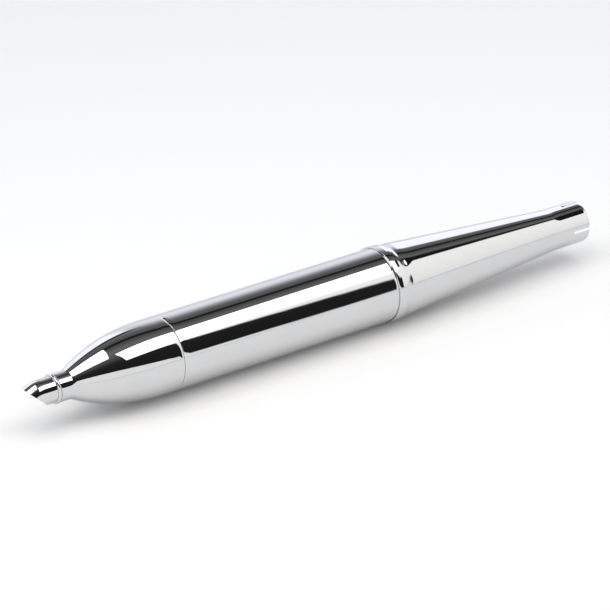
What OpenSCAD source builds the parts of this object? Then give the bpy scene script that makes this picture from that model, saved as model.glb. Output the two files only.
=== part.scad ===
// Cigar-shaped two-stroke silencer: slotted inlet cone, barrel, tail shell and outlet,
// drawn together over a slip-in baffle insert by a central tie rod.
// Origin: centre of the inlet rim, on the axis. +X points out of the inlet mouth.

/* [Shells] */
// Outer radius of the barrel
barrel_r = 30; // [29.5:0.1:30.5]
// Radial thickness of the inlet cone's sheet
cone_wall = 1.2; // [1:0.1:1.3]
// Thickness of the barrel's sheet
barrel_wall = 1.2; // [1.1:0.05:1.25]
// Radial thickness of the tail shell's sheet
tail_wall = 1; // [0.9:0.05:1.05]

/* [Inlet] */
// Bore radius that closes on the header pipe
inlet_bore_r = 16; // [15.5:0.1:16.5]
// Length of the straight clamping sleeve
sleeve_len = 30; // [26:1:34]
// Number of closing slots, cut in opposite pairs
slot_count = 4; // [2:2:6]
// Width of a closing slot
slot_w = 2.2; // [1.2:0.1:2.6]
// Length of a closing slot
slot_len = 17; // [12:1:22]

/* [Stations along the axis, measured back from the inlet rim] */
// End of the straight cone
cone_end = 172.5; // [168:0.5:176]
// Rear lip of the bell that the barrel slips into
bell_lip = 206; // [204:0.5:210]
// Seam between barrel and tail shell
seam = 410; // [408:0.5:412]
// Centre of the rolled ring on the neck
ring_at = 510; // [508:0.5:512]

/* [Outlet] */
// Outer radius of the outlet pipe
outlet_r = 10.35; // [10.2:0.05:10.35]
// Thickness of the outlet pipe
outlet_wall = 1; // [0.8:0.1:1.1]
// Downward bend of the outlet tip
tip_bend = 24; // [18:1:28]
// Angle between the slash cut and the axis
slash_angle = 42; // [38:1:50]

/* [Tie rod and nuts] */
// Radius of the tie rod
rod_r = 3; // [2.9:0.05:3]
// Width across flats of the nuts
nut_flats = 10; // [9:0.5:10.5]
// Height of the retaining nut
nut_h = 5; // [4.5:0.5:5.5]

/* [Baffle insert] */
// Outer radius of the baffle flanges
baffle_r = 28.6; // [28.2:0.1:28.6]
// Sheet thickness of the baffles
baffle_wall = 1; // [0.8:0.1:1.2]
// Outer radius of the perforated core tube
core_r = 10; // [9.5:0.1:10.2]
// Outer radius of the transfer tubes
transfer_r = 5; // [4.5:0.1:5.2]
// Radius of the circle that the transfer tubes stand on
transfer_pitch_r = 17; // [16.5:0.1:18]

/* [Hidden] */
$fn = 96;
chrome = "gainsboro";
steel = "darkgray";
zinc = "lightsteelblue";
graphite = "dimgray";
fibre = "wheat";

play = 0.05;          // radial gap of a close sliding fit
contact_gap = 0.1;    // gap left between faces that meet
over = 1;             // how far a cutting solid runs past a face

// cone and bell
sleeve_r = inlet_bore_r + cone_wall;
shoulder_end = 192;   // where the rounded shoulder becomes parallel
cone_end_r = 28.65;
shoulder_r = 29.9;
bell_r = 31.2;
bell_step = [[shoulder_r, 194.6], [30.35, 195.8], [30.85, 197.4], [31.1, 199.4], [bell_r, 201.7]];
bell_start = 197.4;   // front end of the bell's bore
bell_bore_r = barrel_r + 2 * play;
seal_len = 1.4;

// barrel
barrel_start = bell_start + seal_len + contact_gap;
barrel_bore_r = barrel_r - barrel_wall;
swage_r = barrel_r - 0.4;         // front end, drawn in to enter the bell
swage_end = bell_lip - 0.1;
seam_gap = 0.3;
roll_len = 5;         // both edges at the seam are rolled in over this length
roll_depth = 0.35;
roll_steps = 4;
stop_start = 226;
stop_len = 4;
stop_depth = 2;

// tail shell: the radius falls off as a power of the distance along it
nose_start = 420;
nose_len = 75;
nose_end_r = 12.6;
nose_power = 2.23;
nose_slope = (barrel_r - nose_end_r) * nose_power / nose_len;
nose_steps = 15;
neck_r = outlet_r + play + tail_wall;
fillet_steps = 6;
ring_half = 1.4;
ring_r = 11.9;
neck_end = ring_at - ring_half;

// outlet
outlet_bore_r = outlet_r - outlet_wall;
outlet_start = 436;
bend_at = 523.5;
tip_len = 30;
weld_gap = 0.04;
slash_at = 528;

// tie rod and its hardware
rod_start = 156;
rod_end = 512;
bar_t = 3;
anchor_at = 163;      // front face of the anchor bar
anchor_w = 12;
weld_nut_h = 5;
jam_nut_h = 3;
tail_bar_at = 498;    // front face of the tail bar
tail_bar_w = 7;
washer_t = 1.2;
washer_r = 6;
spring_t = 1.5;
spring_r = 5.2;
spring_split = 1.2;
washer_at = tail_bar_at + bar_t;
spring_at = washer_at + washer_t;
nut_at = spring_at + spring_t;

// baffle insert, front to rear
flange_len = 8;
front_baffle_at = 232;
middle_baffle_at = 284;
plate_at = 322;
rear_baffle_at = 381;
core_start = middle_baffle_at + baffle_wall;
core_end = 408;
core_wall = 1;
first_hole_angle = 8;
transfer_count = 3;
transfer_wall = 0.8;
transfer_reach = 5;
guide_bore_r = rod_r + 0.3;
guide_r = guide_bore_r + 1;
guide_reach = 3;
packing_start = plate_at + baffle_wall + contact_gap;
packing_end = rear_baffle_at - contact_gap;
packing_r = baffle_r - baffle_wall - 0.2;
wire_r = 0.4;
wire_count = 4;
spigot_start = 392;
spigot_end = nose_start - 0.5;
spigot_wall = 1;
thrust_start = rear_baffle_at + flange_len + contact_gap;
thrust_end = spigot_start - contact_gap;

// Revolves an outline of [radius, distance back from the rim] about the axis
module lathe(outline) {
    rotate([0, -90, 0]) rotate_extrude() polygon(outline);
}

// Straight tube between two stations
module tube(start, end, outer_r, inner_r) {
    lathe([[inner_r, start], [outer_r, start], [outer_r, end], [inner_r, end]]);
}

// Sheet shell: the outer line, and the same line moved in by the wall
module shell(outer, wall) {
    last = len(outer) - 1;
    inner = [for (i = [last : -1 : 0]) [outer[i][0] - wall, outer[i][1]]];
    lathe(concat(outer, inner));
}

// Hexagon nut with chamfered corners
module hex_nut(start, height, bore_r) {
    corner_r = nut_flats / 2 / cos(30);
    chamfer = corner_r - nut_flats / 2;
    difference() {
        intersection() {
            translate([-start - height, 0, 0]) rotate([0, 90, 0]) cylinder(r=corner_r, h=height, $fn=6);
            lathe([
                [0, start], [nut_flats / 2, start], [corner_r + play, start + chamfer],
                [corner_r + play, start + height - chamfer], [nut_flats / 2, start + height],
                [0, start + height]
            ]);
        }
        tube(start - over, start + height + over, bore_r, 0);
    }
}

// Pressed baffle: a disc with a rim flange that faces the tail
module baffle_cup(start, hole_r) {
    lathe([
        [hole_r, start], [baffle_r - baffle_wall, start], [baffle_r, start + baffle_wall],
        [baffle_r, start + flange_len], [baffle_r - baffle_wall, start + flange_len],
        [baffle_r - baffle_wall, start + baffle_wall], [hole_r, start + baffle_wall]
    ]);
}

// Puts its children at each transfer tube's axis
module at_transfers() {
    for (i = [0 : transfer_count - 1])
        rotate([i * 360 / transfer_count, 0, 0]) translate([0, 0, transfer_pitch_r]) children();
}

// Steel bar across a round passage, drilled for the tie rod
module cross_bar(start, width, hole_r) {
    difference() {
        translate([-start - bar_t, -width / 2, -barrel_r]) cube([bar_t, width, 2 * barrel_r]);
        tube(start - over, start + bar_t + over, hole_r, 0);
    }
}

function cone_r(at) =
    sleeve_r + (cone_end_r - sleeve_r) * (at - sleeve_len) / (cone_end - sleeve_len);

function nose_r(along) =
    barrel_r - (barrel_r - nose_end_r) * pow(along / nose_len, nose_power);

module front_cone() {
    color(chrome) difference() {
        lathe([
            [sleeve_r - 0.5, 0], [sleeve_r, 0.8], [sleeve_r, sleeve_len], [cone_end_r, cone_end],
            for (i = [1 : 4]) shoulder_point(i / 4),
            each bell_step,
            [bell_r, bell_lip - 0.4], [bell_r - 0.4, bell_lip],
            [bell_bore_r, bell_lip], [bell_bore_r, bell_start],
            [shoulder_r - cone_wall, bell_start],
            for (i = [4 : -1 : 1]) shoulder_point(i / 4) - [cone_wall, 0],
            [cone_end_r - cone_wall, cone_end], [inlet_bore_r, sleeve_len], [inlet_bore_r, 0]
        ]);
        for (i = [0 : slot_count / 2 - 1]) rotate([i * 360 / slot_count, 0, 0]) slot_pair();
    }
}

// Point on the rounded shoulder: the cone's slope fades out towards the bell
function shoulder_point(t) = [
    cone_end_r + (shoulder_r - cone_end_r) * (1 - pow(1 - t, 2)),
    cone_end + (shoulder_end - cone_end) * t
];

// Two opposite closing slots with round inner ends
module slot_pair() {
    translate([-slot_len + slot_w / 2, -slot_w / 2, -barrel_r]) cube([slot_len, slot_w, 2 * barrel_r]);
    translate([-slot_len + slot_w / 2, 0, -barrel_r]) cylinder(d=slot_w, h=2 * barrel_r);
}

module joint_seal() {
    color(graphite) tube(bell_start, bell_start + seal_len, bell_bore_r - play, barrel_bore_r + play);
}

module anchor_bar() {
    color(steel) intersection() {
        cross_bar(anchor_at, anchor_w, rod_r + play);
        lathe([
            [0, anchor_at - over], [bar_seat_r(anchor_at - over), anchor_at - over],
            [bar_seat_r(anchor_at + bar_t + over), anchor_at + bar_t + over],
            [0, anchor_at + bar_t + over]
        ]);
    }
}

function bar_seat_r(at) = cone_r(at) - cone_wall - play;

module weld_nut() {
    color(steel) hex_nut(anchor_at - weld_nut_h, weld_nut_h, rod_r + play / 2);
}

module jam_nut() {
    color(zinc) hex_nut(anchor_at + bar_t, jam_nut_h, rod_r + play / 2);
}

module tie_rod() {
    chamfer = 0.5;
    color(zinc) lathe([
        [0, rod_start], [rod_r - chamfer, rod_start], [rod_r, rod_start + chamfer],
        [rod_r, rod_end - chamfer], [rod_r - chamfer, rod_end], [0, rod_end]
    ]);
}

module barrel_tube() {
    end = seam - seam_gap;
    color(chrome) lathe(concat(
        [[barrel_bore_r, barrel_start], [swage_r, barrel_start], [swage_r, swage_end - 0.4], [barrel_r, swage_end]],
        [for (i = [0 : roll_steps])
            [barrel_r - roll_depth * pow(i / roll_steps, 3), end - roll_len * (1 - i / roll_steps)]],
        [[barrel_bore_r, end]]
    ));
}

module insert_stop() {
    color(steel) tube(stop_start, stop_start + stop_len, barrel_bore_r, barrel_bore_r - stop_depth);
}

module front_baffle() {
    color(steel) difference() {
        baffle_cup(front_baffle_at, guide_r + play);
        at_transfers() tube(front_baffle_at - over, middle_baffle_at - over, transfer_r + play, 0);
    }
}

module middle_baffle() {
    color(steel) difference() {
        baffle_cup(middle_baffle_at, guide_r + play);
        at_transfers() tube(middle_baffle_at - over, plate_at, transfer_r + play, 0);
    }
}

module transfer_tubes() {
    color(steel) at_transfers() tube(
        front_baffle_at - transfer_reach, middle_baffle_at + baffle_wall + transfer_reach,
        transfer_r, transfer_r - transfer_wall
    );
}

module rod_guide() {
    color(steel) tube(
        front_baffle_at - guide_reach, middle_baffle_at + baffle_wall + guide_reach,
        guide_r, guide_bore_r
    );
}

// Rings of holes through one side of the core tube's wall, each ring half a step on from the last
module hole_rings(first, last, rings, around, hole_r) {
    for (k = [0 : rings - 1])
        for (i = [0 : around - 1])
            translate([-first - k * (last - first) / (rings - 1), 0, 0])
                rotate([first_hole_angle + (i + (k % 2) / 2) * 360 / around, 0, 0])
                    translate([0, 0, core_r / 2]) cylinder(r=hole_r, h=core_r);
}

module core_tube() {
    color(steel) difference() {
        tube(core_start, core_end, core_r, core_r - core_wall);
        hole_rings(core_start + 14, plate_at - 7, 3, 6, 2.2);
        hole_rings(packing_start + 7, packing_end - 7, 5, 6, 1.6);
    }
}

module packing_plate() {
    color(steel) baffle_cup(plate_at, core_r + play);
}

module packing() {
    color(fibre) tube(packing_start, packing_end, packing_r, core_r + play);
}

module packing_wires() {
    first = plate_at + flange_len + 4;
    pitch = (packing_end - first - 6) / (wire_count - 1);
    color(steel) for (i = [0 : wire_count - 1])
        rotate([0, -90, 0]) rotate_extrude()
            translate([packing_r + wire_r, first + i * pitch]) circle(r=wire_r, $fn=24);
}

module rear_baffle() {
    color(steel) baffle_cup(rear_baffle_at, core_r + play);
}

module thrust_ring() {
    color(graphite) tube(thrust_start, thrust_end, baffle_r, baffle_r - baffle_wall);
}

module tail_shell() {
    blend_len = 2 * (nose_end_r - neck_r) / nose_slope;
    nose = concat(
        [for (i = [0 : nose_steps]) [nose_r(i * nose_len / nose_steps), nose_start + i * nose_len / nose_steps]],
        [for (i = [1 : fillet_steps]) [
            neck_r + (nose_end_r - neck_r) * pow(1 - i / fillet_steps, 2),
            nose_start + nose_len + blend_len * i / fillet_steps
        ]],
        [[neck_r, neck_end]]
    );
    color(chrome) lathe(concat(
        [for (i = [roll_steps : -1 : 0])
            [barrel_r - roll_depth * pow(i / roll_steps, 3), seam + roll_len * (1 - i / roll_steps)]],
        nose,
        [for (i = [len(nose) - 1 : -1 : 0]) nose[i] - [tail_wall, 0]],
        [[barrel_r - tail_wall, seam]]
    ));
}

module tail_spigot() {
    front_r = barrel_bore_r - 2 * play;
    rear_r = barrel_r - tail_wall - play;
    color(steel) shell([
        [front_r - 0.6, spigot_start], [front_r, spigot_start + 2], [front_r, seam - 1],
        [rear_r, seam + 1], [rear_r, spigot_end]
    ], spigot_wall);
}

module neck_ring() {
    bore_r = outlet_r + play;
    color(chrome) lathe(concat(
        [[bore_r, ring_at + ring_half], [bore_r, ring_at - ring_half]],
        [for (a = [0 : 15 : 180]) [
            ring_r - ring_half * (1 - sin(a)),
            ring_at - ring_half * cos(a)
        ]]
    ));
}

// Everything beyond a plane near the bend that halves its angle: side is 1 or -1
module mitre_side(side) {
    reach = 200;
    translate([-bend_at, 0, 0]) rotate([0, -tip_bend / 2, 0])
        translate([side * (reach + weld_gap) / 2, 0, 0]) cube(reach, center=true);
}

module outlet_pipe() {
    color(chrome) difference() {
        intersection() {
            tube(outlet_start, bend_at + tip_len, outlet_r, outlet_bore_r);
            mitre_side(1);
        }
        slash();
    }
}

module outlet_tip() {
    color(chrome) difference() {
        intersection() {
            translate([-bend_at, 0, 0]) rotate([0, -tip_bend, 0])
                tube(-tip_len, tip_len, outlet_r, outlet_bore_r);
            mitre_side(-1);
        }
        slash();
    }
}

// Removes everything behind the slanted mouth of the outlet
module slash() {
    reach = 100;
    translate([-slash_at, 0, 0]) rotate([0, slash_angle, 0])
        translate([-reach / 2, -reach / 2, -reach]) cube(reach);
}

module tail_bar() {
    color(steel) intersection() {
        cross_bar(tail_bar_at, tail_bar_w, rod_r + 1.6 * play);
        tube(tail_bar_at - over, tail_bar_at + bar_t + over, outlet_bore_r - play, 0);
    }
}

module plain_washer() {
    color(zinc) tube(washer_at, washer_at + washer_t, washer_r, rod_r + 4 * play);
}

module spring_washer() {
    color(zinc) difference() {
        tube(spring_at, spring_at + spring_t, spring_r, rod_r + 3 * play);
        rotate([30, 0, 0]) translate([-spring_at - spring_t - over, -spring_split / 2, 0])
            cube([spring_t + 2 * over, spring_split, barrel_r]);
    }
}

module retaining_nut() {
    color(zinc) hex_nut(nut_at, nut_h, rod_r + play);
}

front_cone();
joint_seal();
anchor_bar();
weld_nut();
jam_nut();
tie_rod();
barrel_tube();
insert_stop();
front_baffle();
middle_baffle();
transfer_tubes();
rod_guide();
core_tube();
packing_plate();
packing();
packing_wires();
rear_baffle();
thrust_ring();
tail_shell();
tail_spigot();
neck_ring();
outlet_pipe();
outlet_tip();
tail_bar();
plain_washer();
spring_washer();
retaining_nut();
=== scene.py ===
import math

import bmesh
import bpy
from mathutils import Matrix, Vector, noise


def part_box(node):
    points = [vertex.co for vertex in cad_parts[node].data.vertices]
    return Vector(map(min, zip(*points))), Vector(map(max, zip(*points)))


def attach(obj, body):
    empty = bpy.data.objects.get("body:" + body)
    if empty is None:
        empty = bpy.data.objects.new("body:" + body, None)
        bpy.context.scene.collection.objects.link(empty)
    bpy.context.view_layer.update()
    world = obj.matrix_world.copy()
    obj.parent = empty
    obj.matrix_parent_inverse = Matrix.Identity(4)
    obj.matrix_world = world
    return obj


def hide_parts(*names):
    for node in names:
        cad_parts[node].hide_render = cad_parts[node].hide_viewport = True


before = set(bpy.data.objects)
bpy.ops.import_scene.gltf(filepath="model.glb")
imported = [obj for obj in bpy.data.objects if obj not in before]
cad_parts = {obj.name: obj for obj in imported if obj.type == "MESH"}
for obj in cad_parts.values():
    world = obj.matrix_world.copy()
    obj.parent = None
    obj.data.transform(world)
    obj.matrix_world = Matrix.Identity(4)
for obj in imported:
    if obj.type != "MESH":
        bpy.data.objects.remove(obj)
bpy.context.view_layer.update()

MM = 0.001


# ---------------------------------------------------------------- sizes, from the frame

def near_far(node):
    """Distances back from the inlet rim where a node starts and ends, and its outer radius."""
    low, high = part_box(node)
    return -high.x, -low.x, high.z


BELL_LIP, BELL_R = near_far("front_cone")[1:]
BARREL_START, _, BARREL_R = near_far("barrel_tube")
SEAM, NECK_END = near_far("tail_shell")[:2]
SEAM_EDGE = SEAM - 0.05 * MM
RING_START, RING_END, RING_R = near_far("neck_ring")
OUTLET_START = near_far("outlet_pipe")[0]
OUTLET_R = near_far("outlet_pipe")[2]
ROD_START, ROD_END, ROD_R = near_far("tie_rod")
INSERT_R = near_far("rear_baffle")[2]
FLOOR_Z = -BELL_R - 0.2 * MM

# Driving sizes of the shells, as in the CAD. "End", "start" and "at" are distances back from the inlet rim.
WALL = 1.2 * MM
TAIL_WALL = 1 * MM
BORE_R = 16 * MM
SLEEVE_LEN = 30 * MM
SLEEVE_R = BORE_R + WALL
SLEEVE_BLEND = 60 * MM
RIM_LEN = 1.8 * MM
RIM_FALL = 0.35 * MM
CONE_END = 186 * MM
CONE_END_R = 29.73 * MM
SHOULDER_END = 192 * MM
SHOULDER_R = 29.95 * MM
# the bell's swell, as (distance back, radius, rounding) in millimetres
BELL_STEP = [(194.6, 29.95, 0.8), (195.8, 30.35, 2), (197.4, 30.85, 3), (199.4, 31.1, 4), (201.7, 31.2, 4)]
BELL_START = 197.4 * MM
SWAGE_R = BARREL_R - 0.4 * MM
ROLL_LEN = 5 * MM
ROLL_DEPTH = 0.35 * MM
TAIL_ROLL_DEPTH = 0.15 * MM
TAIL_RIM_ROUND = 0.9 * MM
BELL_BORE_R = BARREL_R + 0.1 * MM
SLOT_W = 2.2 * MM
SLOT_LEN = 17 * MM
NOSE_START = 420 * MM
NOSE_LEN = 75 * MM
NOSE_END_R = 12.6 * MM
NOSE_POWER = 2.23
NECK_R = OUTLET_R + 1.05 * MM
BEND_AT = 523.5 * MM
TIP_BEND = math.radians(24)
SLASH_AT = 528 * MM
SLASH_ANGLE = math.radians(42)

AROUND = 256


# ---------------------------------------------------------------- mesh helpers

def densify(points, step):
    """Adds points along every straight stretch longer than step, so that normals stay true."""
    dense = []
    for here, there in zip(points, points[1:] + points[:1]):
        gap = math.dist(here, there)
        count = max(1, math.ceil(gap / step))
        dense += [
            (here[0] + (there[0] - here[0]) * k / count, here[1] + (there[1] - here[1]) * k / count)
            for k in range(count)
        ]
    return dense


def rounded(corners, steps=5):
    """A closed outline of (s, r, radius) corners, each cut back into an arc of that radius."""
    outline = []
    count = len(corners)
    for i, (s, r, radius) in enumerate(corners):
        corner = Vector((s, r))
        before = Vector(corners[i - 1][:2]) - corner
        after = Vector(corners[(i + 1) % count][:2]) - corner
        if radius <= 0 or before.length < 1e-9 or after.length < 1e-9:
            outline.append((s, r))
            continue
        half = before.angle(after) / 2
        back = min(radius / math.tan(half), before.length * 0.45, after.length * 0.45)
        start = corner + before.normalized() * back
        end = corner + after.normalized() * back
        for k in range(steps + 1):
            t = k / steps
            point = start * (1 - t) ** 2 + corner * 2 * t * (1 - t) + end * t**2
            outline.append((point.x, point.y))
    return outline


def revolve(name, outline, around=AROUND):
    """Turns a closed outline of (distance back from the rim, radius) about the X axis."""
    mesh = bpy.data.meshes.new(name)
    verts = []
    for s, r in outline:
        for k in range(around):
            a = 2 * math.pi * k / around
            verts.append((-s, r * math.sin(a), r * math.cos(a)))
    count = len(outline)
    faces = []
    for i in range(count):
        j = (i + 1) % count
        for k in range(around):
            m = (k + 1) % around
            faces.append((i * around + k, j * around + k, j * around + m, i * around + m))
    mesh.from_pydata(verts, [], faces)
    piece = bpy.data.objects.new(name, mesh)
    bpy.context.collection.objects.link(piece)
    tidy_normals(piece)
    return piece


def tidy_normals(piece, sharp=math.radians(40)):
    """Outward faces, shaded smooth except across sharp edges."""
    work = bmesh.new()
    work.from_mesh(piece.data)
    bmesh.ops.recalc_face_normals(work, faces=work.faces)
    for face in work.faces:
        face.smooth = True
    for edge in work.edges:
        edge.smooth = not (edge.is_manifold and edge.calc_face_angle(0) > sharp)
    work.to_mesh(piece.data)
    work.free()


def cut(piece, cutters):
    """Subtracts the cutters from the piece and deletes them."""
    for cutter in cutters:
        step = piece.modifiers.new("cut", "BOOLEAN")
        step.operation = "DIFFERENCE"
        step.solver = "EXACT"
        step.object = cutter
    bake_modifiers(piece)
    for cutter in cutters:
        bpy.data.objects.remove(cutter)
    tidy_normals(piece)


def bake_modifiers(piece):
    """Replaces the mesh by what its modifiers make of it."""
    graph = bpy.context.evaluated_depsgraph_get()
    made = bpy.data.meshes.new_from_object(piece.evaluated_get(graph))
    piece.modifiers.clear()
    piece.data = made


def block(name, low, high):
    """A box between two corners, as a cutter."""
    work = bmesh.new()
    bmesh.ops.create_cube(work, size=1)
    for vert in work.verts:
        vert.co = Vector(
            low[i] + (high[i] - low[i]) * (vert.co[i] + 0.5) for i in range(3)
        )
    mesh = bpy.data.meshes.new(name)
    work.to_mesh(mesh)
    work.free()
    piece = bpy.data.objects.new(name, mesh)
    bpy.context.collection.objects.link(piece)
    return piece


# ---------------------------------------------------------------- materials

class Shader:
    """A node material with a Principled surface, built up by short calls."""

    def __init__(self, name, color, metallic, roughness):
        self.material = bpy.data.materials.new(name)
        self.material.use_nodes = True
        self.tree = self.material.node_tree
        self.surface = self.tree.nodes["Principled BSDF"]
        self.surface.inputs["Base Color"].default_value = (*color, 1)
        self.surface.inputs["Metallic"].default_value = metallic
        self.surface.inputs["Roughness"].default_value = roughness
        self.place = self.node("ShaderNodeTexCoord").outputs["Object"]

    def node(self, kind, **values):
        made = self.tree.nodes.new(kind)
        for key, value in values.items():
            setattr(made, key, value)
        return made

    def join(self, source, target):
        self.tree.links.new(source, target)

    def stretched(self, scale):
        """The object's coordinates, scaled along each axis."""
        mapping = self.node("ShaderNodeMapping")
        mapping.inputs["Scale"].default_value = scale
        self.join(self.place, mapping.inputs["Vector"])
        return mapping.outputs["Vector"]

    def grain(self, scale, detail=4, stretch=(1, 1, 1), roughness=0.6):
        """A noise texture's value."""
        texture = self.node("ShaderNodeTexNoise")
        texture.inputs["Scale"].default_value = scale
        texture.inputs["Detail"].default_value = detail
        texture.inputs["Roughness"].default_value = roughness
        self.join(self.stretched(stretch), texture.inputs["Vector"])
        return texture.outputs["Fac"]

    def between(self, value, low, high, start=0.3, end=0.7):
        """Maps a noise value to a range."""
        scaled = self.node("ShaderNodeMapRange")
        scaled.inputs["From Min"].default_value = start
        scaled.inputs["From Max"].default_value = end
        scaled.inputs["To Min"].default_value = low
        scaled.inputs["To Max"].default_value = high
        self.join(value, scaled.inputs["Value"])
        return scaled.outputs["Result"]

    def blend(self, value, first, second):
        """A colour between two, by a value."""
        mix = self.node("ShaderNodeMix", data_type="RGBA")
        mix.inputs["A"].default_value = (*first, 1)
        mix.inputs["B"].default_value = (*second, 1)
        self.join(value, mix.inputs["Factor"])
        return mix.outputs["Result"]

    def color(self, source):
        self.join(source, self.surface.inputs["Base Color"])

    def roughness(self, source):
        self.join(source, self.surface.inputs["Roughness"])

    def bump(self, source, strength, distance):
        bump = self.node("ShaderNodeBump")
        bump.inputs["Strength"].default_value = strength
        bump.inputs["Distance"].default_value = distance
        self.join(source, bump.inputs["Height"])
        previous = self.surface.inputs["Normal"]
        if previous.is_linked:
            self.join(previous.links[0].from_socket, bump.inputs["Normal"])
        self.join(bump.outputs["Normal"], previous)


def chrome_material(name, tint):
    """Polished chrome: near-mirror, with the slow waviness of pressed sheet and fine buffing lines."""
    made = Shader(name, tint, 1, 0.03)
    smudge = made.grain(45, detail=6)
    lines = made.grain(900, detail=3, stretch=(1, 0.04, 0.04))
    mix = made.node("ShaderNodeMath", operation="MULTIPLY")
    made.join(smudge, mix.inputs[0])
    made.join(lines, mix.inputs[1])
    made.roughness(made.between(mix.outputs["Value"], 0.012, 0.05, 0.12, 0.5))
    made.color(made.blend(made.between(smudge, 0, 1), tint, [c * 0.975 for c in tint]))
    made.bump(made.grain(22, detail=1), 0.5, 0.09 * MM)
    made.bump(made.grain(2500, detail=2, stretch=(1, 0.05, 0.05)), 0.05, 0.01 * MM)
    return made.material


def steel_material(name, color, dark, rough=(0.32, 0.55), metallic=1.0):
    """Unplated steel: drawn or turned lines, blotches of oil and faint oxide."""
    made = Shader(name, color, metallic, 0.4)
    blotch = made.grain(60, detail=7)
    fine = made.grain(1400, detail=4, stretch=(0.06, 1, 1))
    made.color(made.blend(made.between(blotch, 0, 1, 0.38, 0.66), color, dark))
    made.roughness(made.between(fine, *rough))
    made.bump(fine, 0.25, 0.03 * MM)
    made.bump(blotch, 0.1, 0.1 * MM)
    return made.material


def seal_material(name):
    """Graphite gasket: dull black with pressed flakes."""
    made = Shader(name, (0.03, 0.03, 0.033), 0, 0.6)
    flakes = made.grain(1100, detail=5)
    made.color(made.blend(made.between(flakes, 0, 1), (0.018, 0.018, 0.02), (0.07, 0.07, 0.075)))
    made.roughness(made.between(flakes, 0.45, 0.8))
    made.bump(flakes, 0.4, 0.08 * MM)
    return made.material


def fibre_material(name):
    """Glass-fibre mat: pale straw strands that lie round the roll."""
    made = Shader(name, (0.72, 0.62, 0.38), 0, 0.85)
    strands = made.grain(420, detail=8, stretch=(1, 0.12, 0.12), roughness=0.75)
    clumps = made.grain(70, detail=5)
    made.color(made.blend(made.between(strands, 0, 1), (0.86, 0.79, 0.58), (0.55, 0.45, 0.25)))
    made.roughness(made.between(clumps, 0.75, 0.95))
    made.bump(strands, 0.9, 0.5 * MM)
    made.bump(clumps, 0.5, 0.8 * MM)
    return made.material


CHROME_TINT = (0.655, 0.66, 0.67)
OUTLET_TINT = (0.66, 0.66, 0.667)
chrome = chrome_material("chrome_plate", CHROME_TINT)
outlet_chrome = chrome_material("chrome_plate_outlet", OUTLET_TINT)
bare_steel = steel_material("bare_steel", (0.36, 0.35, 0.34), (0.2, 0.17, 0.145))
inner_steel = steel_material("inner_steel", (0.34, 0.325, 0.31), (0.2, 0.165, 0.14), (0.38, 0.65), 0.5)
zinc = steel_material("zinc_plate", (0.6, 0.61, 0.62), (0.46, 0.47, 0.44), (0.22, 0.4))
graphite = seal_material("graphite")
fibre = fibre_material("glass_fibre_mat")


def paint_inside(piece, limit):
    """Gives the faces that look towards the axis the unplated steel of the shell's inside."""
    piece.data.materials.append(inner_steel)
    for face in piece.data.polygons:
        centre = face.center
        outward = Vector((0, centre.y, centre.z))
        radius = outward.length
        if radius < limit(-centre.x) and face.normal.dot(outward) < -0.2 * radius:
            face.material_index = 1


# ---------------------------------------------------------------- shells

def shoulder(t, inset=0.0):
    """Point on the rounded shoulder, where the cone's slope fades out towards the bell."""
    s = CONE_END + (SHOULDER_END - CONE_END) * t
    return s, CONE_END_R + (SHOULDER_R - CONE_END_R) * (1 - (1 - t) ** 2) - inset


def make_front_cone():
    edge = 0.25 * MM
    outer = [(0, SLEEVE_R - RIM_FALL, 0.35 * MM), (RIM_LEN, SLEEVE_R, SLEEVE_BLEND)]
    outer += [(SLEEVE_LEN, SLEEVE_R, SLEEVE_BLEND), (CONE_END, CONE_END_R, 0)]
    outer += [(*shoulder(k / 10), 0) for k in range(1, 11)]
    outer += [(s * MM, r * MM, radius * MM) for s, r, radius in BELL_STEP]
    outer.append((BELL_LIP, BELL_R, 0.9 * MM))
    # the bell's edge is rolled in to close on the barrel
    inner = [
        (BELL_LIP, BARREL_R + 0.03 * MM, 0.1 * MM),
        (BELL_LIP - 1.5 * MM, BELL_BORE_R, 0),
        (BELL_START, BELL_BORE_R, 0.2 * MM),
        (BELL_START, SHOULDER_R - WALL, 0.4 * MM),
    ]
    inner += [(*shoulder(k / 10, WALL), 0) for k in range(10, 0, -1)]
    inner += [
        (CONE_END, CONE_END_R - WALL, 0),
        (SLEEVE_LEN, BORE_R, SLEEVE_BLEND),
        (0, BORE_R, edge),
    ]
    cone = revolve("front_cone_shell", densify(rounded(outer + inner, 8), 2.5 * MM))
    cut(cone, [slot_cutter(k) for k in range(2)])
    cone.data.materials.append(chrome)
    paint_inside(cone, lambda s: BELL_BORE_R + MM)
    return cone


def slot_cutter(turn):
    """A bar with round ends that saws two opposite slots into the sleeve."""
    work = bmesh.new()
    half = SLOT_W / 2
    ring = []
    for k in range(17):
        a = math.pi / 2 + math.pi * k / 16
        ring.append((-SLOT_LEN + half + half * math.cos(a), half * math.sin(a)))
    ring += [(5 * MM, -half), (5 * MM, half)]
    reach = SLEEVE_R * 1.5
    low = [work.verts.new((x, y, -reach)) for x, y in ring]
    high = [work.verts.new((x, y, reach)) for x, y in ring]
    work.faces.new(low[::-1])
    work.faces.new(high)
    for i in range(len(ring)):
        j = (i + 1) % len(ring)
        work.faces.new((low[i], low[j], high[j], high[i]))
    bmesh.ops.recalc_face_normals(work, faces=work.faces)
    bmesh.ops.rotate(work, verts=work.verts, matrix=Matrix.Rotation(turn * math.pi / 2, 3, "X"))
    mesh = bpy.data.meshes.new("slot")
    work.to_mesh(mesh)
    work.free()
    cutter = bpy.data.objects.new("slot", mesh)
    bpy.context.collection.objects.link(cutter)
    return cutter


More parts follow.
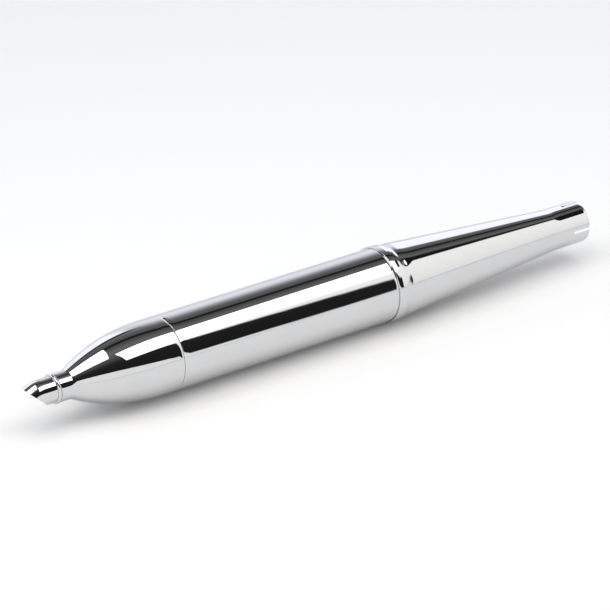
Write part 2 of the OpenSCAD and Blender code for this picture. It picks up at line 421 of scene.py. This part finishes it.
def make_barrel():
    inner_r = BARREL_R - WALL
    edge = 0.25 * MM
    corners = [
        (BARREL_START, inner_r, edge), (BARREL_START, SWAGE_R, edge),
        (BELL_LIP - 0.5 * MM, SWAGE_R, 0.1 * MM), (BELL_LIP - 0.1 * MM, BARREL_R, 0.2 * MM),
    ]
    corners += [
        (SEAM_EDGE - ROLL_LEN * (1 - k / 12), BARREL_R - ROLL_DEPTH * (k / 12) ** 3, 0)
        for k in range(12)
    ]
    corners += [(SEAM_EDGE, BARREL_R - ROLL_DEPTH, 0.4 * MM), (SEAM_EDGE, inner_r, edge)]
    outline = rounded(corners)
    barrel = revolve("barrel_shell", densify(outline, 2.5 * MM))
    barrel.data.materials.append(chrome)
    paint_inside(barrel, lambda s: BARREL_R - WALL / 2)
    return barrel


def nose_radius(s):
    """Outer radius of the tail shell along its nose."""
    return BARREL_R - (BARREL_R - NOSE_END_R) * ((s - NOSE_START) / NOSE_LEN) ** NOSE_POWER


def make_tail_shell():
    slope = (BARREL_R - NOSE_END_R) * NOSE_POWER / NOSE_LEN
    blend_len = 2 * (NOSE_END_R - NECK_R) / slope
    height = TAIL_WALL - TAIL_ROLL_DEPTH
    rim = [
        (
            SEAM + TAIL_RIM_ROUND * (1 - math.cos(math.pi * k / 16)),
            BARREL_R - TAIL_WALL + height * math.sin(math.pi * k / 16),
            0,
        )
        for k in range(9)
    ]
    rim += [
        (SEAM + ROLL_LEN * k / 12, BARREL_R - TAIL_ROLL_DEPTH * (1 - k / 12) ** 3, 0)
        for k in range(3, 13)
    ]
    outer = [(NOSE_START, BARREL_R, 0)]
    for k in range(1, 49):
        s = NOSE_START + NOSE_LEN * k / 48
        outer.append((s, nose_radius(s), 0))
    outer += [
        (
            NOSE_START + NOSE_LEN + blend_len * k / 8,
            NECK_R + (NOSE_END_R - NECK_R) * (1 - k / 8) ** 2,
            0,
        )
        for k in range(1, 9)
    ]
    outer.append((NECK_END, NECK_R, 0.2 * MM))
    inner = [(s, r - TAIL_WALL, edge) for s, r, edge in reversed(outer)]
    tail = revolve("tail_shell_nose", densify(rounded(rim + outer + inner), 2.5 * MM))
    tail.data.materials.append(chrome)
    paint_inside(tail, lambda s: BARREL_R)
    return tail


def make_neck_ring():
    """Rolled ring: a full half-round on the outside and a plain bore."""
    half = (RING_END - RING_START) / 2
    centre = (RING_START + RING_END) / 2
    bore = OUTLET_R + 0.05 * MM
    outline = [(centre + half, bore), (centre - half, bore)]
    outline += [
        (centre - half * math.cos(math.pi * k / 16), RING_R - half * (1 - math.sin(math.pi * k / 16)))
        for k in range(17)
    ]
    ring = revolve("neck_ring_rolled", densify(outline, MM), 128)
    ring.data.materials.append(outlet_chrome)
    return ring


def make_outlet():
    """Outlet pipe: a straight run with a mouth at its front, an elbow, and a slash-cut tip."""
    around = 128
    wall = TAIL_WALL
    elbow_r = OUTLET_R + 3.5 * MM
    reach = elbow_r * math.tan(TIP_BEND / 2)
    stations = []
    run = BEND_AT - reach - OUTLET_START
    count = math.ceil(run / (2 * MM))
    stations += [(Vector((-OUTLET_START - run * k / count, 0, 0)), 0) for k in range(count)]
    pivot = Vector((-BEND_AT + reach, 0, -elbow_r))
    for k in range(13):
        a = TIP_BEND * k / 12
        stations.append((pivot + elbow_r * Vector((-math.sin(a), 0, math.cos(a))), a))
    last = stations[-1][0]
    along = Vector((-math.cos(TIP_BEND), 0, -math.sin(TIP_BEND)))
    stations += [(last + along * 2 * MM * k, TIP_BEND) for k in range(1, 9)]
    mesh = bpy.data.meshes.new("outlet_pipe_bent")
    verts = []
    for radius in (OUTLET_R, OUTLET_R - wall):
        for centre, turn in stations:
            up = Vector((-math.sin(turn), 0, math.cos(turn)))
            for k in range(around):
                a = 2 * math.pi * k / around
                verts.append(centre + radius * (Vector((0, math.sin(a), 0)) + up * math.cos(a)))
    rings = len(stations)
    faces = []
    for layer in range(2):
        for i in range(rings - 1):
            for k in range(around):
                m = (k + 1) % around
                base = (layer * rings + i) * around
                faces.append((base + k, base + around + k, base + around + m, base + m))
    for i in (0, rings - 1):
        for k in range(around):
            m = (k + 1) % around
            outer, inner = i * around, (rings + i) * around
            faces.append((outer + k, outer + m, inner + m, inner + k))
    mesh.from_pydata(verts, [], faces)
    pipe = bpy.data.objects.new("outlet_pipe_bent", mesh)
    bpy.context.collection.objects.link(pipe)
    tidy_normals(pipe)
    size = 60 * MM
    cutter = block("slash", (-size, -size, -size), (size, size, 0))
    cutter.data.transform(Matrix.Rotation(SLASH_ANGLE, 4, "Y"))
    cutter.data.transform(Matrix.Translation((-SLASH_AT, 0, 0)))
    cut(pipe, [cutter])
    pipe.data.materials.append(outlet_chrome)
    paint_inside(pipe, lambda s: OUTLET_R * 1.5 if s < BEND_AT - 12 * MM else 0)
    return pipe


# ---------------------------------------------------------------- inner pieces

def make_collar(name, node, inner_r, material, radius=0.25 * MM, around=128):
    """A plain turned or rolled ring that fills a node's span, with its edges rounded."""
    start, end, outer_r = near_far(node)
    outline = rounded([
        (start, inner_r, radius), (start, outer_r, radius), (end, outer_r, radius), (end, inner_r, radius),
    ], 4)
    ring = revolve(name, densify(outline, 2 * MM), around)
    ring.data.materials.append(material)
    return ring


def make_tie_rod():
    """A drawn rod with a rolled M6 thread on both ends."""
    pitch = 1 * MM
    depth = 0.32 * MM
    around = 32
    threads = ((ROD_START, ROD_START + 24 * MM), (ROD_END - 30 * MM, ROD_END))
    stations = []
    s = ROD_START
    while s < ROD_END - 1e-9:
        stations.append(s)
        threaded = any(start - pitch < s < end + pitch for start, end in threads)
        s += pitch / 8 if threaded else 4 * MM
    stations.append(ROD_END)

    def radius(s, turn):
        groove = 0.0
        for start, end in threads:
            fade = min(1, max(0, (s - start + pitch) / pitch), max(0, (end + pitch - s) / pitch))
            if fade > 0:
                phase = (s / pitch - turn) % 1
                groove = depth * fade * max(0.0, 1 - abs(phase - 0.5) / 0.42)
        tip = max(0.0, 0.6 * MM - (s - ROD_START), 0.6 * MM - (ROD_END - s))
        return min(ROD_R - groove, ROD_R - tip)

    verts = []
    for s in stations:
        for k in range(around):
            a = 2 * math.pi * k / around
            r = radius(s, k / around)
            verts.append((-s, r * math.sin(a), r * math.cos(a)))
    faces = []
    for i in range(len(stations) - 1):
        for k in range(around):
            m = (k + 1) % around
            base = i * around
            faces.append((base + k, base + around + k, base + around + m, base + m))
    last = (len(stations) - 1) * around
    faces.append(tuple(range(around)))
    faces.append(tuple(last + k for k in reversed(range(around))))
    mesh = bpy.data.meshes.new("tie_rod_threaded")
    mesh.from_pydata(verts, [], faces)
    rod = bpy.data.objects.new("tie_rod_threaded", mesh)
    bpy.context.collection.objects.link(rod)
    tidy_normals(rod, math.radians(60))
    mesh.materials.append(zinc)
    return rod


def make_spring_washer():
    """A split lock washer: a square wire wound not quite once, its ends sprung apart."""
    start, end, outer_r = near_far("spring_washer")
    inner_r = ROD_R + 0.15 * MM
    thick = (end - start) - 0.3 * MM
    gap = 1.2 * MM / outer_r
    steps = 72
    bevel = 0.15 * MM
    section = [
        (0, inner_r + bevel), (0, outer_r - bevel), (bevel, outer_r), (thick - bevel, outer_r),
        (thick, outer_r - bevel), (thick, inner_r + bevel), (thick - bevel, inner_r), (bevel, inner_r),
    ]
    verts = []
    for i in range(steps + 1):
        t = i / steps
        a = gap / 2 + (2 * math.pi - gap) * t
        for s, r in section:
            verts.append((-start - 0.3 * MM * t - s, r * math.sin(a), r * math.cos(a)))
    n = len(section)
    faces = [
        (i * n + k, (i + 1) * n + k, (i + 1) * n + (k + 1) % n, i * n + (k + 1) % n)
        for i in range(steps) for k in range(n)
    ]
    faces.append(tuple(range(n)))
    faces.append(tuple(steps * n + k for k in reversed(range(n))))
    mesh = bpy.data.meshes.new("spring_washer_wound")
    mesh.from_pydata(verts, [], faces)
    washer = bpy.data.objects.new("spring_washer_wound", mesh)
    bpy.context.collection.objects.link(washer)
    tidy_normals(washer, math.radians(30))
    mesh.materials.append(zinc)
    return washer


def make_packing():
    """Glass-fibre roll: lumpy, drawn in where each wire binds it."""
    start, end, outer_r = near_far("packing")
    inner_r = near_far("core_tube")[2] + 0.05 * MM
    outline = densify(rounded([
        (start, inner_r, 0), (start, outer_r, 2.5 * MM), (end, outer_r, 2.5 * MM), (end, inner_r, 0),
    ], 5), 1.2 * MM)
    roll = revolve("packing_fibre_roll", outline, 192)
    bound = wire_stations()
    for vert in roll.data.vertices:
        radial = Vector((0, vert.co.y, vert.co.z))
        if radial.length < inner_r + 0.5 * MM:
            continue
        lump = noise.fractal(vert.co * 160, 0.9, 2.1, 5)
        strand = noise.noise(Vector((vert.co.x * 1500, radial.angle(Vector((0, 0, 1))) * 9, 0)))
        squeeze = max(math.exp(-(((-vert.co.x - s) / (2.2 * MM)) ** 2)) for s in bound)
        depth = 0.45 * MM + 0.4 * MM * lump + 0.15 * MM * strand + 0.4 * MM * squeeze
        depth = min(1.4 * MM, max(0.0, depth))
        vert.co -= radial.normalized() * depth
        inward = 1 if -vert.co.x < (start + end) / 2 else -1
        at_face = min(-vert.co.x - start, end + vert.co.x) < 0.3 * MM
        if at_face:
            vert.co.x -= inward * min(0.6 * MM, max(0.0, 0.3 * MM + 0.4 * MM * lump))
    tidy_normals(roll, math.radians(80))
    roll.data.materials.append(fibre)
    return roll


def wire_stations():
    start, end, _ = near_far("packing_wires")
    half = 0.4 * MM
    return [start + half + (end - start - 2 * half) * k / 3 for k in range(4)]


def tube_along(path, radius, sides=10):
    """Vertices and faces of a round wire through a list of points."""
    verts, faces = [], []
    for i, here in enumerate(path):
        ahead = (path[min(i + 1, len(path) - 1)] - path[max(i - 1, 0)]).normalized()
        out = Vector((0, here.y, here.z)).normalized()
        across = ahead.cross(out).normalized()
        out = across.cross(ahead).normalized()
        for k in range(sides):
            a = 2 * math.pi * k / sides
            verts.append(here + radius * (math.cos(a) * out + math.sin(a) * across))
    for i in range(len(path) - 1):
        for k in range(sides):
            m = (k + 1) % sides
            base = i * sides
            faces.append((base + k, base + sides + k, base + sides + m, base + m))
    faces.append(tuple(range(sides)))
    faces.append(tuple((len(path) - 1) * sides + k for k in reversed(range(sides))))
    return verts, faces


def make_wires():
    """Binding wires: each goes once round the roll and its ends are twisted together."""
    wire = 0.36 * MM
    ring_r = near_far("packing_wires")[2] - 0.4 * MM
    verts, faces = [], []
    for number, s in enumerate(wire_stations()):
        spot = math.radians(40 + 75 * number)
        paths = [[]]
        for k in range(121):
            a = spot + 2 * math.pi * k / 120
            wobble = 0.25 * MM * math.sin(3 * a + number)
            paths[0].append(Vector((-s + wobble, ring_r * math.sin(a), ring_r * math.cos(a))))
        for phase in (0, math.pi):
            path = []
            for k in range(41):
                t = k / 40
                twist = phase + 2 * math.pi * 3 * t
                along = spot + (9 * MM * t) / ring_r
                r = ring_r + 0.3 * MM * math.sin(twist)
                x = -s + 0.4 * MM * math.cos(twist) - 2.2 * MM * t
                path.append(Vector((x, r * math.sin(along), r * math.cos(along))))
            paths.append(path)
        for path in paths:
            more_verts, more_faces = tube_along(path, wire)
            faces += [tuple(len(verts) + v for v in face) for face in more_faces]
            verts += more_verts
    mesh = bpy.data.meshes.new("packing_wires_twisted")
    mesh.from_pydata(verts, [], faces)
    wires = bpy.data.objects.new("packing_wires_twisted", mesh)
    bpy.context.collection.objects.link(wires)
    tidy_normals(wires, math.radians(60))
    mesh.materials.append(bare_steel)
    return wires


# ---------------------------------------------------------------- CAD nodes that stay

def finish_node(name, material):
    """Gives a carried-over node its material. Its edges stay as sharp as the CAD's."""
    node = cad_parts[name]
    for slot in node.material_slots:
        slot.material = material


def place(piece, body, slot, *nodes):
    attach(piece, body)
    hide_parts(*nodes)


place(make_front_cone(), "front_section", "chrome_shell", "front_cone")
place(make_barrel(), "barrel", "chrome_shell", "barrel_tube")
place(make_tail_shell(), "tail_section", "chrome_shell", "tail_shell")
place(make_neck_ring(), "tail_section", "chrome_outlet", "neck_ring")
place(make_outlet(), "tail_section", "chrome_outlet", "outlet_pipe", "outlet_tip")

place(make_tie_rod(), "front_section", "zinc_hardware", "tie_rod")
place(make_spring_washer(), "washers", "zinc_hardware", "spring_washer")
plain_washer = make_collar("plain_washer_pressed", "plain_washer", ROD_R + 0.2 * MM, zinc, 0.2 * MM, 96)
place(plain_washer, "washers", "zinc_hardware", "plain_washer")
place(make_packing(), "baffle_insert", "glass_fibre", "packing")
place(make_wires(), "baffle_insert", "plain_steel", "packing_wires")
BARREL_BORE_R = BARREL_R - WALL
joint_seal = make_collar("joint_seal_ring", "joint_seal", BARREL_BORE_R + 0.05 * MM, graphite, 0.35 * MM)
place(joint_seal, "front_section", "graphite_seal", "joint_seal")
thrust_ring = make_collar("thrust_ring_moulded", "thrust_ring", INSERT_R - MM, graphite, 0.3 * MM)
place(thrust_ring, "baffle_insert", "graphite_seal", "thrust_ring")
STOP_BORE_R = BARREL_BORE_R - 2 * MM
insert_stop = make_collar("insert_stop_rolled", "insert_stop", STOP_BORE_R, inner_steel, 0.9 * MM)
place(insert_stop, "barrel", "plain_steel", "insert_stop")

for name in ("front_baffle", "middle_baffle", "packing_plate", "rear_baffle"):
    finish_node(name, inner_steel)
for name in (
    "anchor_bar", "weld_nut", "tail_bar", "transfer_tubes", "rod_guide", "core_tube", "tail_spigot",
):
    finish_node(name, bare_steel)
for name in ("jam_nut", "retaining_nut"):
    finish_node(name, zinc)


# ---------------------------------------------------------------- studio

def emitter(name, corners, strength):
    """A flat glowing card that the camera doesn't see."""
    mesh = bpy.data.meshes.new(name)
    mesh.from_pydata(corners, [], [tuple(range(len(corners)))])
    card = bpy.data.objects.new(name, mesh)
    bpy.context.collection.objects.link(card)
    material = bpy.data.materials.new(name)
    material.use_nodes = True
    tree = material.node_tree
    tree.nodes.clear()
    glow = tree.nodes.new("ShaderNodeEmission")
    glow.inputs["Strength"].default_value = strength
    out = tree.nodes.new("ShaderNodeOutputMaterial")
    tree.links.new(glow.outputs["Emission"], out.inputs["Surface"])
    mesh.materials.append(material)
    card.visible_camera = False


FLOOR_SIZE = 4.0
FLOOR_COLOR = (0.9, 0.878, 0.852)


def make_floor():
    """A plain matt floor that the bell just clears."""
    size = FLOOR_SIZE
    mesh = bpy.data.meshes.new("floor")
    mesh.from_pydata(
        [(-size, -size, FLOOR_Z), (size, -size, FLOOR_Z), (size, size, FLOOR_Z), (-size, size, FLOOR_Z)],
        [], [(0, 1, 2, 3)],
    )
    floor = bpy.data.objects.new("floor", mesh)
    bpy.context.collection.objects.link(floor)
    made = Shader("pale_floor", FLOOR_COLOR, 0, 0.9)
    made.surface.inputs["Specular IOR Level"].default_value = 0
    mesh.materials.append(made.material)


class Sky:
    """A world shader built from masks over directions."""

    def __init__(self, tree):
        self.tree = tree
        coords = tree.nodes.new("ShaderNodeTexCoord").outputs["Generated"]
        self.direction = coords
        split = tree.nodes.new("ShaderNodeSeparateXYZ")
        tree.links.new(coords, split.inputs["Vector"])
        self.x, self.y, self.z = split.outputs

    def math(self, operation, first, second):
        node = self.tree.nodes.new("ShaderNodeMath")
        node.operation = operation
        for socket, value in zip(node.inputs, (first, second)):
            if isinstance(value, (int, float)):
                socket.default_value = value
            else:
                self.tree.links.new(value, socket)
        return node.outputs["Value"]

    def ramp(self, value, low, high, stops):
        """A colour ramp whose stops are (value, colour) between low and high."""
        scaled = self.tree.nodes.new("ShaderNodeMapRange")
        scaled.inputs["From Min"].default_value = low
        scaled.inputs["From Max"].default_value = high
        self.tree.links.new(value, scaled.inputs["Value"])
        ramp = self.tree.nodes.new("ShaderNodeValToRGB")
        self.tree.links.new(scaled.outputs["Result"], ramp.inputs["Fac"])
        elements = ramp.color_ramp.elements
        elements.remove(elements[-1])
        for i, (at, color) in enumerate(stops):
            stop = elements[0] if i == 0 else elements.new((at - low) / (high - low))
            stop.position = (at - low) / (high - low)
            stop.color = (*color, 1)
        return ramp.outputs["Color"]

    def side(self, normal, offset=0.0, soft=0.02):
        """1 where the direction is on the normal's side of a plane, 0 on the other."""
        dot = self.tree.nodes.new("ShaderNodeVectorMath")
        dot.operation = "DOT_PRODUCT"
        self.tree.links.new(self.direction, dot.inputs[0])
        dot.inputs[1].default_value = Vector(normal).normalized()
        scaled = self.tree.nodes.new("ShaderNodeMapRange")
        scaled.interpolation_type = "SMOOTHSTEP"
        scaled.inputs["From Min"].default_value = offset - soft
        scaled.inputs["From Max"].default_value = offset + soft
        self.tree.links.new(dot.outputs["Value"], scaled.inputs["Value"])
        return scaled.outputs["Result"]

    def over(self, mask, color, below):
        """Puts a colour, or another output's colours, over what is below where the mask is 1."""
        mix = self.tree.nodes.new("ShaderNodeMix")
        mix.data_type = "RGBA"
        self.tree.links.new(mask, mix.inputs["Factor"])
        self.tree.links.new(below, mix.inputs["A"])
        if isinstance(color, tuple):
            mix.inputs["B"].default_value = (*color, 1)
        else:
            self.tree.links.new(color, mix.inputs["B"])
        return mix.outputs["Result"]


def grey(level, tint=(1, 1, 1)):
    """Radiance that the chrome shows at a given display level, 0 to 255."""
    value = level / 255
    linear = value / 12.92 if value <= 0.04045 else ((value + 0.055) / 1.055) ** 2.4
    return tuple(linear / c * t for c, t in zip(CHROME_TINT, tint))


# Tints of the surroundings.
PLAIN = (1, 1, 1)
LAVENDER = (0.958, 0.984, 1.07)
WARM = (1, 0.998, 0.985)
WARM_LOW = (1, 1, 0.995)

# Display levels that the chrome shows round the silencer's axis, by degrees from straight up, away from
# the camera: the pale wall behind from 40 on, two dark streaks overhead, and dark on the camera's side.
AROUND_LEVELS = [
    (-180, 205), (-100, 205), (-88, 26), (-60, 27), (-40, 34), (-8, 98), (0, 94), (9, 73), (13.5, 68),
    (16, 18), (19.5, 20), (22.5, 74), (33, 92), (41, 124), (49, 172), (57, 210), (66, 222), (74, 219),
    (82, 206), (90, 195), (98, 196), (106, 210), (120, 208), (140, 205), (180, 205),
]
WALL_FROM = 30

# The axis's own share of a reflection along X, and how the wall's top edge climbs past it.
AXIS_X = 0.54
CLIMB_LOWEST = -0.4

# Planes through the part that bound the low card in front and the wall past the inlet.
CARD_TOP = (-0.2495, -0.28, -0.7445)
CARD_END = (-0.1309, -0.085, -0.0515)
CARD_LEVEL = 219
END_WALL_SIDE = (0.5628, 0.3844, -0.1045)
LINTEL_TOP, LINTEL_BOTTOM = 57, 44
LINTEL_LEVEL = 22
END_WALL_LEVELS = [(0, 221, WARM_LOW), (0.25, 229, WARM), (0.7, 238, WARM)]

# Light that diffuse surfaces get from all round.
FILL_COLOR = (0.89, 0.958, 1.05)
FILL_STRENGTH = 0.6


def make_world():
    """Studio surroundings: a pale wall behind, dark above and on the camera's side."""
    world = bpy.data.worlds.new("studio")
    bpy.context.scene.world = world
    world.use_nodes = True
    tree = world.node_tree
    tree.nodes.clear()
    sky = Sky(tree)
    # the far wall's top edge climbs towards +X
    climb = sky.math("MAXIMUM", sky.math("SUBTRACT", sky.x, AXIS_X), CLIMB_LOWEST)
    climb = sky.math("MULTIPLY", climb, sky.math("MAXIMUM", sky.y, 0))
    height = sky.math("SUBTRACT", sky.z, climb)
    around = sky.math("MULTIPLY", sky.math("ARCTAN2", sky.y, height), 180 / math.pi)
    stops = [
        (angle, grey(level, LAVENDER if angle > WALL_FROM else PLAIN)) for angle, level in AROUND_LEVELS
    ]
    color = sky.ramp(around, -180, 180, stops)
    # at both ends the wall is brighter and its top edge harder, as the nose and the cone show it
    nose_end = sky.side((-1, 0, 0), -0.4, 0.08)
    cone_end = sky.side((1, 0, 0), 0.575, 0.02)
    for end, top_edge, level in ((nose_end, 44, 52), (nose_end, 52.5, 248), (cone_end, 38, 248)):
        edge = math.radians(top_edge)
        below = sky.math("MULTIPLY", end, sky.side((0, math.cos(edge), -math.sin(edge)), 0, 0.03))
        below = sky.math("MULTIPLY", below, sky.side((0, 1, 0), 0.1, 0.1))
        below = sky.math("MULTIPLY", below, sky.side((0, 0, 1), 0.1, 0.1))
        color = sky.over(below, grey(level, LAVENDER), color)
    # a low card in front of the tail
    near_side = sky.side((0, -1, 0), 0.05, 0.05)
    low_front = sky.math("MULTIPLY", sky.side(CARD_TOP, 0, 0.008), sky.side(CARD_END, 0, 0.01))
    color = sky.over(sky.math("MULTIPLY", near_side, low_front), grey(CARD_LEVEL), color)
    # a wall past the inlet, under a dark lintel, which fades a little towards the floor
    end_wall = sky.math("MULTIPLY", sky.side(END_WALL_SIDE, 0, 0.01), near_side)
    under_lintel = sky.side((0, 0, -1), -math.sin(math.radians(LINTEL_TOP)), 0.02)
    under_top = sky.side((0, 0, -1), -math.sin(math.radians(LINTEL_BOTTOM)), 0.008)
    color = sky.over(sky.math("MULTIPLY", end_wall, under_lintel), grey(LINTEL_LEVEL), color)
    wall_stops = [(rise, grey(level, tint)) for rise, level, tint in END_WALL_LEVELS]
    wall_shade = sky.ramp(sky.z, 0, 0.7, wall_stops)
    color = sky.over(sky.math("MULTIPLY", end_wall, under_top), wall_shade, color)
    # reflections see the studio, diffuse surfaces an even fill, and the camera plain white
    studio = tree.nodes.new("ShaderNodeBackground")
    tree.links.new(color, studio.inputs["Color"])
    plain = tree.nodes.new("ShaderNodeBackground")
    fill = tree.nodes.new("ShaderNodeBackground")
    plain.inputs["Color"].default_value = (1, 1, 1, 1)
    fill.inputs["Color"].default_value = (*FILL_COLOR, 1)
    fill.inputs["Strength"].default_value = FILL_STRENGTH
    path = tree.nodes.new("ShaderNodeLightPath")
    soft = tree.nodes.new("ShaderNodeMixShader")
    tree.links.new(path.outputs["Is Diffuse Ray"], soft.inputs["Fac"])
    tree.links.new(studio.outputs["Background"], soft.inputs[1])
    tree.links.new(fill.outputs["Background"], soft.inputs[2])
    seen = tree.nodes.new("ShaderNodeMixShader")
    tree.links.new(path.outputs["Is Camera Ray"], seen.inputs["Fac"])
    tree.links.new(soft.outputs["Shader"], seen.inputs[1])
    tree.links.new(plain.outputs["Background"], seen.inputs[2])
    out = tree.nodes.new("ShaderNodeOutputWorld")
    tree.links.new(seen.outputs["Shader"], out.inputs["Surface"])


def area_light(name, location, target, size, power):
    """A soft lamp that reflections don't see."""
    light = bpy.data.lights.new(name, "AREA")
    light.shape = "RECTANGLE"
    light.size, light.size_y = size
    light.energy = power
    lamp = bpy.data.objects.new(name, light)
    lamp.location = location
    lamp.rotation_euler = (Vector(target) - Vector(location)).to_track_quat("-Z", "Y").to_euler()
    lamp.visible_glossy = False
    bpy.context.collection.objects.link(lamp)


CAMERA_AT = (-1.8587, -2.1335, 1.2715)
CAMERA_FORWARD = (0.5376, 0.7247, -0.4310)
CAMERA_LENS = 223.5


def make_camera():
    """The photograph's view: a long lens, from the tail's side, 25 degrees above the floor."""
    data = bpy.data.cameras.new("camera")
    data.sensor_width = 36
    data.lens = CAMERA_LENS
    data.clip_start, data.clip_end = 0.1, 50
    camera = bpy.data.objects.new("camera", data)
    camera.location = CAMERA_AT
    camera.rotation_euler = Vector(CAMERA_FORWARD).to_track_quat("-Z", "Y").to_euler()
    bpy.context.collection.objects.link(camera)
    bpy.context.scene.camera = camera


make_camera()
make_world()
make_floor()

# Overhead softboxes. Corners are slopes from a point on the axis: (along +X, towards the camera).
BOX_HEIGHT = 1.2
BOX_STRENGTH = 2.5
NOSE_X = -0.45
BARREL_BOX = [(0.12, 0.99), (1.04, 0.8), (0.865, 0.07), (0.03, 0.25)]
TAIL_BOX = [(-1.1, 0.36), (-0.06, 0.34), (0.05, -0.4), (-1.1, -0.4)]


def softbox(name, slopes):
    corners = [(NOSE_X + along * BOX_HEIGHT, -near * BOX_HEIGHT, BOX_HEIGHT) for along, near in slopes]
    emitter(name, corners, BOX_STRENGTH)


softbox("softbox_barrel", BARREL_BOX)
softbox("softbox_tail", TAIL_BOX)
area_light("overhead", (-0.27, -0.1, 2.6), (-0.27, 0, 0), (3, 3), 24)

scene = bpy.context.scene
scene.view_settings.view_transform = "Standard"
scene.view_settings.look = "None"
